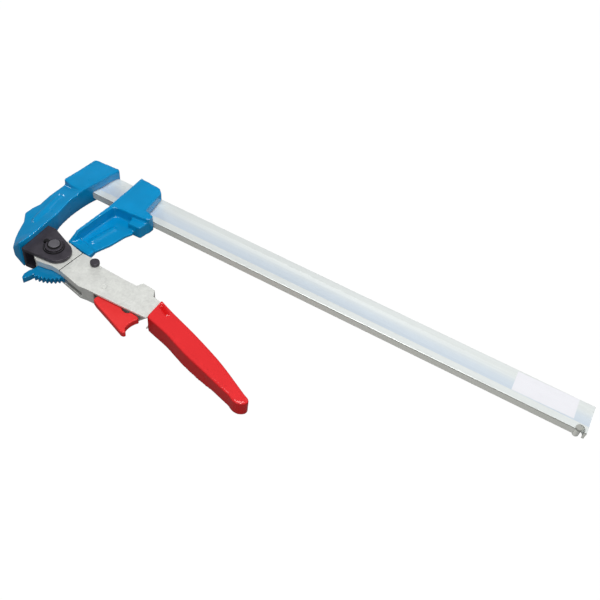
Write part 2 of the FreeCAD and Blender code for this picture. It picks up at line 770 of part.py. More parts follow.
make_bar()
make_stop_pin()
make_fixed_jaw()
make_head_rivets()
make_bracket()
make_bracket_rivets()
make_pivot_pin()
make_washers_and_clips()
make_sector()
make_sliding_jaw()
make_grip_pins()
make_lever_head()
make_bushes()
make_lever_body()
make_stud()
make_lever_rivets()
make_trigger_pin()
make_trigger_spring()
make_pawl()
make_trigger()
make_grip()
doc.recompute()

for feature in doc.Objects:
    if "Invalid" in feature.State or "Error" in feature.State:
        raise ValueError("failed: " + feature.Name)
for feature, label in PARTS:
    if feature.Shape.isNull() or not feature.Shape.isValid():
        raise ValueError("bad shape: " + label)

os.makedirs("parts", exist_ok=True)
for feature, label in PARTS:
    feature.Shape.exportStep("parts/%s.step" % label)
    box = feature.Shape.BoundBox
    print(
        "%-22s solids %d volume %9.1f  x %7.1f %7.1f  y %7.1f %7.1f  z %5.1f %5.1f"
        % (label, len(feature.Shape.Solids), feature.Shape.Volume, box.XMin, box.XMax, box.YMin, box.YMax, box.ZMin, box.ZMax)
    )
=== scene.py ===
import json
import math

import bmesh
import bpy
from mathutils import Matrix, Vector

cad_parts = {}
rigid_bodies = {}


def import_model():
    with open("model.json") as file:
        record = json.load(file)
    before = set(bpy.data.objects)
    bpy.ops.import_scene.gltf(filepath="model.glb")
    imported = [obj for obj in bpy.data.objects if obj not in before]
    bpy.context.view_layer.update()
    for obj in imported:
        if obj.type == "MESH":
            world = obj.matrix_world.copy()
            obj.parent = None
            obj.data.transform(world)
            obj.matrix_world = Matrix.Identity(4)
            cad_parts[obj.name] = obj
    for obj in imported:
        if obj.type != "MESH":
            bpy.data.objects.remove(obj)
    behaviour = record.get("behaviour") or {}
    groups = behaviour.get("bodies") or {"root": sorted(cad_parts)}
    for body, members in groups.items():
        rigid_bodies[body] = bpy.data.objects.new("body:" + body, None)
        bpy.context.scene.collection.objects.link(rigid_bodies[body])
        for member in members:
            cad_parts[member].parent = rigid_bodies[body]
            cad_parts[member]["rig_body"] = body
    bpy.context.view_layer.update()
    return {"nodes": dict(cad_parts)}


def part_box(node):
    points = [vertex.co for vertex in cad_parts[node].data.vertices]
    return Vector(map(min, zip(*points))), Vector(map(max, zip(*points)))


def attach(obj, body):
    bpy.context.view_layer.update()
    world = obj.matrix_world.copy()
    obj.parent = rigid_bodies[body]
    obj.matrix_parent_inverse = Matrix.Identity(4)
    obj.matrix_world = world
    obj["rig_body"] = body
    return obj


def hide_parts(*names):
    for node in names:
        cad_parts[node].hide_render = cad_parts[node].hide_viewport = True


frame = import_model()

bl_info = {
    "name": "Quick Release Bar Clamp",
    "version": (1, 0, 0),
    "blender": (4, 5, 0),
    "location": "View3D > Sidebar > Bar Clamp",
    "description": "Dresses a lever bar clamp: cast jaws, steel bar, plated lever and dipped grip",
    "category": "Add Mesh",
}

MM = 0.001
MADE = {}  # the finishes by short name, once they are made


# Sizes and colours that a user would change
def length(label, words, default):
    return bpy.props.FloatProperty(
        name=label, description=words, default=default * MM, unit="LENGTH", precision=5
    )


def colour(label, words, default):
    return bpy.props.FloatVectorProperty(
        name=label, description=words, default=default, subtype="COLOR", size=3, min=0.0, max=1.0
    )


class ClampSizes(bpy.types.PropertyGroup):
    casting_grain: length("Casting mesh", "Cell size of the cast jaws' mesh", 0.62)
    grip_grain: length("Grip mesh", "Cell size of the dipped grip's mesh", 0.7)
    sheet_edge: length("Sheet edge", "Radius on the edges of pressed steel", 0.35)
    bracket_edge: length("Bracket edge", "Radius on the bracket's edges", 0.5)
    bar_edge: length("Bar edge", "Radius on the bar's long edges", 0.7)
    stop_pin_edge: length("Stop pin edge", "Radius on the ends of the bar's stop pin", 0.25)
    pivot_pin_edge: length("Pivot pin edge", "Radius on the ends of the pivot pin", 0.5)
    washer_edge: length("Washer edge", "Radius on the pivot washers' rims", 0.3)
    clip_edge: length("Clip edge", "Radius on the pivot clips' rims", 0.25)
    stud_edge: length("Stud edge", "Radius on the lever stud's head", 0.7)
    trigger_edge: length("Trigger edge", "Radius on the moulded trigger's edges", 0.9)
    label_long: length("Label length", "Length of the blank paper label on the bar", 54.0)
    label_wide: length("Label width", "Width of the blank paper label on the bar", 21.0)


class ClampColours(bpy.types.PropertyGroup):
    enamel: colour("Enamel", "Glossy enamel on the castings", (0.0, 0.28, 0.6))
    black_oxide: colour("Black oxide", "Blackened steel round the pivot", (0.05, 0.044, 0.056))
    oiled_steel: colour("Oiled steel", "Blackened steel of the pivot pin", (0.12, 0.115, 0.13))
    zinc: colour("Zinc plate", "Plated steel of the lever", (0.8, 0.81, 0.77))
    bar_face: colour("Bar face", "Bright steel on the bar's wide faces", (0.84, 0.88, 0.865))
    bar_side: colour("Bar side", "Duller steel on the bar's narrow faces", (0.93, 0.95, 0.85))
    dipped_red: colour("Dipped red", "Soft plastic of the grip", (0.78, 0.03, 0.034))
    trigger_red: colour("Trigger red", "Moulded plastic of the trigger", (0.8, 0.025, 0.025))
    paper: colour("Paper", "Blank label stuck to the bar", (0.89, 0.89, 0.93))
    brass: colour("Brass", "Bushes on the pivot", (0.6, 0.42, 0.16))
    hard_steel: colour("Hard steel", "Pawl, spring and grip pins", (0.3, 0.3, 0.32))


# Shader maths: sums on sockets, and one way to make a node
class Signal:
    """A socket's value that takes part in sums."""

    def __init__(self, finish, socket):
        self.finish = finish
        self.socket = socket

    def sum(self, operation, other):
        return self.finish.node("ShaderNodeMath", {"operation": operation}, {0: self, 1: other})

    def __add__(self, other):
        return self.sum("ADD", other)

    def __mul__(self, other):
        return self.sum("MULTIPLY", other)

    __radd__ = __add__
    __rmul__ = __mul__


# Sockets of Blender's Mix node when it mixes colours
MIX_FACTOR, MIX_FIRST, MIX_SECOND, MIX_RESULT = 0, 6, 7, 2


class Finish:
    """One material, with its nodes."""

    def __init__(self, name, metallic=0.0, coat=0.0, specular=0.5):
        self.material = bpy.data.materials.new(name)
        self.material.use_nodes = True
        self.tree = self.material.node_tree
        self.tree.nodes.clear()
        output = self.tree.nodes.new("ShaderNodeOutputMaterial")
        self.shader = self.tree.nodes.new("ShaderNodeBsdfPrincipled")
        self.tree.links.new(self.shader.outputs[0], output.inputs[0])
        self.shader.inputs["Metallic"].default_value = metallic
        self.shader.inputs["Specular IOR Level"].default_value = specular
        self.shader.inputs["Coat Weight"].default_value = coat
        self.shader.inputs["Coat Roughness"].default_value = 0.06
        self.place = self.node("ShaderNodeTexCoord", {}, {}, "Object")

    def node(self, kind, settings, inputs, output=0):
        made = self.tree.nodes.new(kind)
        for key, value in settings.items():
            if key == "stops":
                self.set_stops(made.color_ramp, value)
            else:
                setattr(made, key, value)
        for key, value in inputs.items():
            self.fill(made.inputs[key], value)
        return Signal(self, made.outputs[output])

    def fill(self, socket, value):
        if isinstance(value, Signal):
            self.tree.links.new(value.socket, socket)
        else:
            socket.default_value = value

    def set_stops(self, ramp, stops):
        while len(ramp.elements) < len(stops):
            ramp.elements.new(0.5)
        for element, (where, level) in zip(ramp.elements, stops):
            element.position = where
            element.color = (level, level, level, 1.0)

    def ramp(self, signal, *stops):
        return self.node("ShaderNodeValToRGB", {"stops": stops}, {0: signal})

    def rise(self, signal, start, end):
        """From 0 where the signal is at the start to 1 where it is at the end."""
        return self.ramp(signal, (start, 0.0), (end, 1.0))

    def along(self, axis):
        """The place along one axis, in metres."""
        return self.node("ShaderNodeSeparateXYZ", {}, {0: self.place}, "XYZ".index(axis))

    def stretched(self, scale):
        return self.node("ShaderNodeMapping", {}, {"Vector": self.place, "Scale": scale})

    def noise(self, scale, detail=3.0, roughness=0.55, place=None):
        inputs = {"Vector": place or self.place, "Scale": scale, "Detail": detail, "Roughness": roughness}
        return self.node("ShaderNodeTexNoise", {}, inputs)

    def blend(self, mask, first, second):
        values = {MIX_FACTOR: mask, MIX_FIRST: first, MIX_SECOND: second}
        return self.node("ShaderNodeMix", {"data_type": "RGBA"}, values, MIX_RESULT)

    def mottle(self, mask, tint, dark, light):
        """The tint, darkened where the mask is low and lightened where it is high."""
        return self.blend(mask, shade(tint, dark), shade(tint, light))

    def bump(self, height, depth_mm, strength=1.0, under=None):
        inputs = {"Height": height, "Distance": depth_mm * MM, "Strength": strength}
        if under is not None:
            inputs["Normal"] = under
        return self.node("ShaderNodeBump", {}, inputs)

    def feed(self, **signals):
        for key, value in signals.items():
            self.fill(self.shader.inputs[key.replace("_", " ")], value)
        return self.material


def shade(tint, factor):
    return tuple(min(1.0, part * factor) for part in tint) + (1.0,)


# Finishes. A noise's scale is in cells for each metre, and a bump's depth is in millimetres.
BAR_RAMP = 50.0  # times metres, so a ramp's whole length covers 20 mm of the bar's section
GRIP_RAMP = 40.0  # times metres, so a ramp's whole length covers 25 mm of the grip's height
# Painted reflection: where the bluish tint lies across the bar's face, strongest near the hollow's near
# edge
HOLLOW_REFLECTION_STOPS = ((0.08, 0.0), (0.13, 1.0), (0.5, 0.75), (0.8, 0.1), (0.93, 0.0))
HOLLOW_REFLECTION_BLUE = (0.68, 0.77, 0.86, 1.0)


def enamel_finish(name, tint):
    """Glossy enamel that flowed a little before it set, with dust in it."""
    finish = Finish(name, coat=0.9, specular=0.1)
    flow = finish.rise(finish.noise(scale=38.0, detail=2.0), 0.35, 0.7)
    ground = finish.mottle(flow, tint, dark=0.93, light=1.07)
    dust = finish.rise(finish.noise(scale=2600.0, detail=1.0), 0.72, 0.78)
    ground = finish.blend(dust * 0.2, ground, shade(tint, 0.6))
    wave = finish.bump(finish.noise(scale=190.0, detail=2.0), depth_mm=0.1, strength=0.5)
    peel = finish.bump(finish.noise(scale=1100.0, detail=2.0), depth_mm=0.02, strength=0.5, under=wave)
    return finish.feed(Base_Color=ground, Roughness=finish.noise(scale=120.0) * 0.16 + 0.22, Normal=peel)


def black_finish(name, tint):
    """Blackened steel, cloudy and finely grained."""
    finish = Finish(name, metallic=0.35)
    cloud = finish.noise(scale=160.0, detail=4.0)
    ground = finish.mottle(cloud, tint, dark=0.8, light=1.35)
    grain = finish.bump(finish.noise(scale=2200.0, detail=2.0), depth_mm=0.02, strength=0.6)
    return finish.feed(Base_Color=ground, Roughness=cloud * 0.2 + 0.3, Normal=grain)


def zinc_finish(tint):
    """Zinc plate with a faint spangle, rub marks, specks and small dents."""
    finish = Finish("zinc_plate", metallic=0.35)
    cloud = finish.noise(scale=120.0, detail=6.0, roughness=0.7)
    cells = {"Vector": finish.place, "Scale": 620.0}
    spangle = finish.node("ShaderNodeTexVoronoi", {"feature": "F1"}, cells, "Color")
    tone = finish.rise(finish.blend(0.3, cloud, spangle), 0.3, 0.72)
    ground = finish.mottle(tone, tint, dark=0.9, light=1.06)
    lengthways = finish.stretched((160.0, 2400.0, 160.0))
    rub = finish.rise(finish.noise(scale=1.0, detail=2.0, roughness=0.5, place=lengthways), 0.66, 0.7)
    ground = finish.blend(rub * 0.3, ground, shade(tint, 0.6))
    speck = finish.rise(finish.noise(scale=900.0, detail=2.0), 0.68, 0.74)
    ground = finish.blend(speck * 0.35, ground, shade(tint, 0.7))
    dent = finish.bump(finish.noise(scale=430.0, detail=3.0), depth_mm=0.05, strength=0.5)
    return finish.feed(Base_Color=ground, Roughness=cloud * 0.2 + 0.34, Normal=dent)


def bar_face_finish(tint):
    """Drawn steel with lines along the bar, with a painted bluish reflection across the face's hollow."""
    finish = Finish("bar_face_steel", metallic=0.2)
    lengthways = finish.stretched((9.0, 1500.0, 1500.0))
    drawn = finish.noise(scale=1.0, detail=4.0, roughness=0.6, place=lengthways)
    cloud = finish.noise(scale=26.0, detail=3.0)
    ground = finish.mottle(finish.rise(drawn, 0.3, 0.75), tint, dark=0.95, light=1.04)
    ground = finish.blend(cloud * 0.16, ground, shade(tint, 0.88))
    # Painted reflection: a bluish tint across the face's hollow, strongest near its near edge
    hollow_reflection = finish.ramp(finish.along("Y") * BAR_RAMP + 0.5, *HOLLOW_REFLECTION_STOPS)
    ground = finish.blend(hollow_reflection, ground, HOLLOW_REFLECTION_BLUE)
    lines = finish.bump(drawn, depth_mm=0.01, strength=0.4)
    return finish.feed(Base_Color=ground, Roughness=drawn * 0.12 + 0.3, Normal=lines)


def bar_side_finish(tint):
    """Steel with fine cross ticks, and a painted line of shade along the upper edge."""
    finish = Finish("bar_side_steel", metallic=0.05)
    bands = {"wave_type": "BANDS", "bands_direction": "X", "wave_profile": "SIN"}
    spacing = {"Vector": finish.place, "Scale": 260.0, "Distortion": 0.8, "Detail": 1.0}
    ticks = finish.node("ShaderNodeTexWave", bands, spacing)
    cloud = finish.noise(scale=60.0, detail=3.0)
    ground = finish.mottle(ticks * 0.5, tint, dark=0.92, light=1.12)
    ground = finish.blend(cloud * 0.4, ground, shade(tint, 1.2))
    # Painted shade: a dark line along the side face just below its upper edge
    rim = finish.rise(finish.along("Z") * BAR_RAMP, 0.835, 0.862)
    ground = finish.blend(rim * 0.75, ground, shade(tint, 0.25))
    nicks = finish.bump(ticks, depth_mm=0.05, strength=0.6)
    return finish.feed(Base_Color=ground, Roughness=cloud * 0.2 + 0.38, Normal=nicks)


def dipped_finish(tint):
    """Soft dipped plastic, with painted shade: a darker red on the sides and in the recess, below the
    top's edge.
    """
    finish = Finish("dipped_red", coat=0.6, specular=0.05)
    cloud = finish.noise(scale=45.0, detail=2.0)
    ground = finish.mottle(cloud, tint, dark=0.94, light=1.06)
    # Painted shade: below the top, on the sides and in the recess, the red turns darker
    top = finish.rise(finish.along("Z") * GRIP_RAMP, 0.89, 0.95)
    painted_shade_red = (tint[0] * 0.85, tint[1] * 0.2, tint[2] * 0.2, 1.0)
    ground = finish.blend(top, painted_shade_red, ground)
    wave = finish.bump(finish.noise(scale=60.0, detail=1.0), depth_mm=0.12, strength=0.3)
    fine = finish.bump(finish.noise(scale=1700.0, detail=2.0), depth_mm=0.01, strength=0.4, under=wave)
    return finish.feed(Base_Color=ground, Roughness=cloud * 0.14 + 0.24, Normal=fine)


def moulded_finish(tint):
    """Hard moulded plastic with a fine grain."""
    finish = Finish("trigger_red")
    cloud = finish.noise(scale=90.0, detail=3.0)
    ground = finish.mottle(cloud, tint, dark=0.94, light=1.08)
    grain = finish.bump(finish.noise(scale=2400.0, detail=2.0), depth_mm=0.03, strength=0.6)
    return finish.feed(Base_Color=ground, Roughness=cloud * 0.15 + 0.3, Normal=grain)


def paper_finish(tint):
    """Smooth paper with a faint fibre."""
    finish = Finish("label_paper")
    fibre = finish.noise(scale=1400.0, detail=4.0, roughness=0.7)
    ground = finish.mottle(fibre * 0.3, tint, dark=1.0, light=0.93)
    felt = finish.bump(fibre, depth_mm=0.01, strength=0.5)
    return finish.feed(Base_Color=ground, Roughness=fibre * 0.1 + 0.45, Normal=felt)


def turned_finish(name, tint, roughness):
    """Bare turned metal."""
    finish = Finish(name, metallic=1.0)
    cloud = finish.noise(scale=300.0, detail=4.0)
    ground = finish.mottle(cloud, tint, dark=0.85, light=1.15)
    marks = finish.bump(cloud, depth_mm=0.01, strength=0.4)
    return finish.feed(Base_Color=ground, Roughness=cloud * 0.15 + roughness, Normal=marks)


def finishes():
    """Every finish by its short name, made at the first call."""
    if not MADE:
        tints = bpy.context.scene.clamp_colours
        MADE.update(
            enamel=enamel_finish("blue_enamel", tints.enamel),
            # The sector's finish is the jaws' enamel darkened, as painted shade under the lever
            sector=enamel_finish("sector_enamel_painted_shade", shade(tints.enamel, 0.72)[:3]),
            black=black_finish("black_oxide", tints.black_oxide),
            pin=black_finish("oiled_steel", tints.oiled_steel),
            # Near-black for the dark seam across the lever, and as painted shadow in the pivot's gaps and
            # the clip's mouth
            oil=black_finish("old_oil", shade(tints.black_oxide, 0.08)[:3]),
            zinc=zinc_finish(tints.zinc),
            bar_face=bar_face_finish(tints.bar_face),
            bar_side=bar_side_finish(tints.bar_side),
            dipped=dipped_finish(tints.dipped_red),
            moulded=moulded_finish(tints.trigger_red),
            paper=paper_finish(tints.paper),
            brass=turned_finish("bush_brass", tints.brass, roughness=0.25),
            hard=turned_finish("hard_steel", tints.hard_steel, roughness=0.3),
        )
    return MADE


# Forms
MERGE_DISTANCE = 2e-6
FLAT_DEGREES = 0.5
SHARP_DEGREES = 32.0
LEVEL_SLACK = 1e-5
DISC_SIDES = 48


def metres(place):
    return [part * MM for part in place]


def node_form(node):
    """A copy of a CAD node's mesh, merged, with its flat faces whole."""
    form = bmesh.new()
    form.from_mesh(frame["nodes"][node].data)
    bmesh.ops.remove_doubles(form, verts=form.verts, dist=MERGE_DISTANCE)
    flat = math.radians(FLAT_DEGREES)
    bmesh.ops.dissolve_limit(form, angle_limit=flat, verts=form.verts, edges=form.edges)
    return form


def sharp_edges(form, degrees=SHARP_DEGREES):
    limit = math.radians(degrees)
    return [e for e in form.edges if len(e.link_faces) == 2 and e.calc_face_angle() > limit]


def round_edges(form, edges, radius, segments=2):
    bmesh.ops.bevel(
        form, geom=edges, offset=radius, offset_type="OFFSET", segments=segments, profile=0.5,
        affect="EDGES", clamp_overlap=False, material=-1,
    )


def pull_out(form, faces, distance):
    """Extrudes the faces up or down by a distance in metres."""
    grown = bmesh.ops.extrude_face_region(form, geom=faces)["geom"]
    moved = [v for v in grown if isinstance(v, bmesh.types.BMVert)]
    bmesh.ops.translate(form, verts=moved, vec=(0, 0, distance))
    bmesh.ops.recalc_face_normals(form, faces=form.faces)


def prism_form(points, low, high):
    """An upright solid from an outline in millimetres."""
    form = bmesh.new()
    verts = [form.verts.new((x * MM, y * MM, low * MM)) for x, y in points]
    face = form.faces.new(verts)
    pull_out(form, [face], (high - low) * MM)
    return form


def slab_form(node):
    """A solid slab with a node's outline and height."""
    form = node_form(node)
    low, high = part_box(node)
    under = [f for f in form.faces if min(v.co.z for v in f.verts) < high.z - LEVEL_SLACK]
    bmesh.ops.delete(form, geom=under, context="FACES")
    pull_out(form, form.faces[:], low.z - high.z)
    return form


def disc_form(centre, radius, low, high):
    """An upright cylinder, in millimetres."""
    turns = [math.tau * step / DISC_SIDES for step in range(DISC_SIDES)]
    rim = [(centre[0] + radius * math.cos(turn), centre[1] + radius * math.sin(turn)) for turn in turns]
    return prism_form(rim, low, high)


def capsule_form(start, end, radius, z_start, z_end, flatten):
    """A low raised bar with round ends between two points, in millimetres."""
    form = bmesh.new()
    made = bmesh.ops.create_uvsphere(form, u_segments=24, v_segments=12, radius=radius * MM)["verts"]
    run = Vector((end[0] - start[0], end[1] - start[1]))
    turn = Matrix.Rotation(math.atan2(run.y, run.x), 4, "Z")
    ahead = [v for v in made if v.co.x > 1e-7]
    bmesh.ops.translate(form, verts=ahead, vec=(run.length * MM, 0, (z_end - z_start) * MM / flatten))
    bmesh.ops.scale(form, verts=made, vec=(1, 1, flatten))
    bmesh.ops.transform(form, verts=made, matrix=turn)
    bmesh.ops.translate(form, verts=made, vec=metres((*start, z_start)))
    return form


def join_form(form, other):
    """Adds the other form to the first, and frees the other."""
    mesh = bpy.data.meshes.new("joined")
    other.to_mesh(mesh)
    other.free()
    form.from_mesh(mesh)
    bpy.data.meshes.remove(mesh)


def carve(form, cutter):
    """The form with the cutter's room taken out."""
    objects = []
    for shape in (form, cutter):
        mesh = bpy.data.meshes.new("carving")
        shape.to_mesh(mesh)
        shape.free()
        objects.append(bpy.data.objects.new("carving", mesh))
        bpy.context.scene.collection.objects.link(objects[-1])
    cut = objects[0].modifiers.new("cut", "BOOLEAN")
    cut.operation = "DIFFERENCE"
    cut.solver = "EXACT"
    cut.object = objects[1]
    bpy.context.view_layer.update()
    done = objects[0].evaluated_get(bpy.context.evaluated_depsgraph_get())
    result = bmesh.new()
    result.from_mesh(done.to_mesh())
    done.to_mesh_clear()
    for item in objects:
        mesh = item.data
        bpy.data.objects.remove(item)
        bpy.data.meshes.remove(mesh)
    return result


# Pieces
def piece(name, form, looks, body, nodes=(), smooth=38.0, weighted=False):
    """Makes the form an object that rides on a body and stands for the named nodes."""
    mesh = bpy.data.meshes.new(name)
    form.to_mesh(mesh)
    form.free()
    for material in looks:
        mesh.materials.append(material)
    mesh.polygons.foreach_set("use_smooth", [True] * len(mesh.polygons))
    mesh.set_sharp_from_angle(angle=math.radians(smooth))
    made = bpy.data.objects.new(name, mesh)
    bpy.context.scene.collection.objects.link(made)
    if weighted:
        even = made.modifiers.new("even", "WEIGHTED_NORMAL")
        even.keep_sharp = True
        even.weight = 100
    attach(made, body)
    if nodes:
        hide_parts(*nodes)
    return made


def cast(made, grain, passes):
    """Turns overlapping forms into one casting with soft edges and filled corners."""
    remesh = made.modifiers.new("casting", "REMESH")
    remesh.mode = "VOXEL"
    remesh.voxel_size = grain
    remesh.use_smooth_shade = True
    soften = made.modifiers.new("soften", "SMOOTH")
    soften.factor = 0.5
    soften.iterations = passes


def eased(node, look, radius, segments=2, degrees=SHARP_DEGREES):
    """A node's shape with its edges rounded, standing for the node."""
    form = node_form(node)
    round_edges(form, sharp_edges(form, degrees), radius, segments)
    body = frame["nodes"][node]["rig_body"]
    piece(node + "_eased", form, [look], body, [node], smooth=50.0, weighted=True)


def paint(look, *nodes):
    """Gives nodes whose shape stays as it is their finish."""
    for node in nodes:
        mesh = frame["nodes"][node].data
        mesh.materials.clear()
        mesh.materials.append(look)


# Places and lengths on this clamp, in millimetres. A capsule's flatten is a factor.
BAR_LONG_EDGE = 400.0
HOLLOW_HALF_WIDTH = 8.5
LABEL_PLACE = (451.5, 3.4, 18.07)
LABEL_THICKNESS = 0.04
LABEL_DIP = 0.55

FIXED_JAW_CAPSULE = {
    "start": (-17.2, -43.0), "end": (-12.6, -79.0), "radius": 3.6,
    "z_start": 24.6, "z_end": 26.0, "flatten": 0.55,
}
SLIDING_JAW_CAPSULE = {
    "start": (44.6, -43.4), "end": (38.8, -66.0), "radius": 2.9,
    "z_start": 16.7, "z_end": 16.7, "flatten": 0.6,
}

# Painted shadow rings in the gaps round the pivot pin: the node that each lies on, how far it is off the
# pin's centre, and its radius
PIVOT_SHADOW_RINGS = (
    ("pivot_clip_upper", 0.9, 6.1),
    ("pivot_washer_upper", 1.9, 8.3),
    ("pivot_bracket", 2.1, 9.5),
)
SHADOW_RING_SUNK, SHADOW_RING_PROUD = 0.2, 0.06
# The painted shadow in the upper clip's open mouth: its outline round the pin's centre, and how deep and
# proud it sits, in millimetres
CLIP_MOUTH_SHADOW = ((-6.0, 1.2), (-9.0, 1.6), (-10.4, -1.0), (-9.2, -3.2), (-6.2, -2.0))
MOUTH_SHADOW_SUNK, MOUTH_SHADOW_PROUD = 2.0, 0.1

LEVER_SEAM = ((40.85, -112.3), (41.45, -112.5), (44.8, -85.7), (44.2, -85.6))
SEAM_SUNK, SEAM_PROUD = 1.4, 0.03

GRIP_TAIL_START = 200.0
GRIP_TAIL_BELOW_TOP = 4.0
GRIP_TAIL_MOVE = (-0.5, 1.0, 2.4)
GRIP_RECESS = ((134.2, -97.9), (137.4, -95.2), (148.6, -101.2), (146.8, -104.6), (139.2, -101.4))
GRIP_RECESS_FLOOR, GRIP_RECESS_TOP = 22.1, 27.0

# Angles, directions and factors, and how often each casting is smoothed
LABEL_DEGREES = 1.2
FACING_SIDEWAYS = 0.8
# The way the painted shadow rings lie off the pin's centre, towards the shaded side
SHADOW_RING_DRIFT_WAY = (0.5, -0.866)
GRIP_SWELL = 1.18
FIXED_JAW_PASSES = 26
SLIDING_JAW_PASSES = 12
GRIP_PASSES = 22


# Operators, one for each piece or group of like pieces
class ClampBar(bpy.types.Operator):
    """Make the steel bar, with rounded long edges and duller narrow faces, and its stop pin"""

    bl_idname = "clamp.bar"
    bl_label = "Bar"

    def execute(self, context):
        look = finishes()
        sizes = context.scene.clamp_sizes
        form = node_form("bar")
        shortest = BAR_LONG_EDGE * MM
        crisp = sharp_edges(form, degrees=60.0)
        long_edges = [e for e in crisp if abs(e.verts[0].co.x - e.verts[1].co.x) > shortest]
        round_edges(form, long_edges, sizes.bar_edge)
        form.normal_update()
        for face in form.faces:
            face.material_index = 1 if abs(face.normal.y) > FACING_SIDEWAYS else 0
        looks = [look["bar_face"], look["bar_side"]]
        piece("bar_dressed", form, looks, "bar_side", ["bar"], smooth=25.0, weighted=True)
        eased("bar_end_stop_pin", look["bar_side"], sizes.stop_pin_edge)
        return {"FINISHED"}


class ClampLabel(bpy.types.Operator):
    """Stick the blank paper label on the bar's end, pressed into the face's hollow"""

    bl_idname = "clamp.label"
    bl_label = "Blank label"

    def execute(self, context):
        sizes = context.scene.clamp_sizes
        form = bmesh.new()
        bmesh.ops.create_grid(form, x_segments=24, y_segments=14, size=0.5)
        bmesh.ops.scale(form, verts=form.verts, vec=(sizes.label_long, sizes.label_wide, 1))
        turn = Matrix.Rotation(math.radians(LABEL_DEGREES), 3, "Z")
        bmesh.ops.rotate(form, verts=form.verts, cent=(0, 0, 0), matrix=turn)
        bmesh.ops.translate(form, verts=form.verts, vec=metres(LABEL_PLACE))
        for vert in form.verts:
            reach = min(1.0, abs(vert.co.y) / (HOLLOW_HALF_WIDTH * MM))
            vert.co.z -= LABEL_DIP * MM * (1.0 - reach**2)
        bmesh.ops.solidify(form, geom=form.faces[:], thickness=LABEL_THICKNESS * MM)
        bmesh.ops.recalc_face_normals(form, faces=form.faces)
        piece("blank_label", form, [finishes()["paper"]], "bar_side")
        return {"FINISHED"}


class ClampFixedJaw(bpy.types.Operator):
    """Make the fixed jaw's casting with its head rivets and raised capsule"""

    bl_idname = "clamp.fixed_jaw"
    bl_label = "Fixed jaw"

    def execute(self, context):
        nodes = ["fixed_jaw", "head_rivet_1", "head_rivet_2"]
        form = node_form(nodes[0])
        for rivet in nodes[1:]:
            join_form(form, node_form(rivet))
        join_form(form, capsule_form(**FIXED_JAW_CAPSULE))
        looks = [finishes()["enamel"]]
        made = piece("fixed_jaw_casting", form, looks, "bar_side", nodes)
        cast(made, context.scene.clamp_sizes.casting_grain, FIXED_JAW_PASSES)
        return {"FINISHED"}


class ClampSlidingJaw(bpy.types.Operator):
    """Make the sliding jaw's casting with its raised capsule, and finish its grip pins"""

    bl_idname = "clamp.sliding_jaw"
    bl_label = "Sliding jaw"

    def execute(self, context):
        look = finishes()
        form = node_form("sliding_jaw")
        join_form(form, capsule_form(**SLIDING_JAW_CAPSULE))
        nodes = ["sliding_jaw"]
        looks = [look["enamel"]]
        made = piece("sliding_jaw_casting", form, looks, "sliding_side", nodes)
        cast(made, context.scene.clamp_sizes.casting_grain, SLIDING_JAW_PASSES)
        paint(look["hard"], "jaw_grip_pin_near", "jaw_grip_pin_far")
        return {"FINISHED"}


class ClampRivets(bpy.types.Operator):
    """Finish the rivets of the bracket and lever"""

    bl_idname = "clamp.rivets"
    bl_label = "Rivets"

    def execute(self, context):
        look = finishes()
        for number in ("1", "2"):
            paint(look["black"], "bracket_rivet_" + number)
            paint(look["zinc"], "lever_rivet_upper_" + number, "lever_rivet_lower_" + number)
        return {"FINISHED"}


class ClampBracket(bpy.types.Operator):
    """Make the blackened pivot bracket"""

    bl_idname = "clamp.bracket"
    bl_label = "Pivot bracket"

    def execute(self, context):
        edge = context.scene.clamp_sizes.bracket_edge
        eased("pivot_bracket", finishes()["black"], edge)
        return {"FINISHED"}


class ClampPivot(bpy.types.Operator):
    """Make the pivot pin, washers and clips, with painted shadow rings in the gaps between them and a
    painted shadow in the clip's mouth
    """

    bl_idname = "clamp.pivot"
    bl_label = "Pivot pin and clips"

    def execute(self, context):
        look = finishes()
        sizes = context.scene.clamp_sizes
        eased("pivot_pin", look["pin"], sizes.pivot_pin_edge, segments=3)
        for side in ("upper", "lower"):
            eased("pivot_washer_" + side, look["black"], sizes.washer_edge)
            eased("pivot_clip_" + side, look["black"], sizes.clip_edge)
        paint(look["brass"], "pivot_bush_upper", "pivot_bush_lower")
        low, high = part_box("pivot_pin")
        pin = (low + high) / 2 / MM
        # Painted shadow: near-black rings in the gaps round the pin, pushed towards the shaded side
        painted_shadows = bmesh.new()
        for seat, drift, radius in PIVOT_SHADOW_RINGS:
            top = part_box(seat)[1].z / MM
            centre = (pin.x + drift * SHADOW_RING_DRIFT_WAY[0], pin.y + drift * SHADOW_RING_DRIFT_WAY[1])
            join_form(painted_shadows, disc_form(centre, radius, top - SHADOW_RING_SUNK, top + SHADOW_RING_PROUD))
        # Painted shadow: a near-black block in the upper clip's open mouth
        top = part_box("pivot_clip_upper")[1].z / MM
        mouth_shadow = [(pin.x + x, pin.y + y) for x, y in CLIP_MOUTH_SHADOW]
        join_form(painted_shadows, prism_form(mouth_shadow, top - MOUTH_SHADOW_SUNK, top + MOUTH_SHADOW_PROUD))
        piece("pivot_painted_shadows", painted_shadows, [look["oil"]], frame["nodes"]["pivot_pin"]["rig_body"])
        return {"FINISHED"}


class ClampSector(bpy.types.Operator):
    """Make the toothed ratchet sector"""

    bl_idname = "clamp.sector"
    bl_label = "Ratchet sector"

    def execute(self, context):
        edge = context.scene.clamp_sizes.sheet_edge
        # Its finish is the jaws' enamel with painted shade
        eased("ratchet_sector", finishes()["sector"], edge, degrees=20.0)
        return {"FINISHED"}


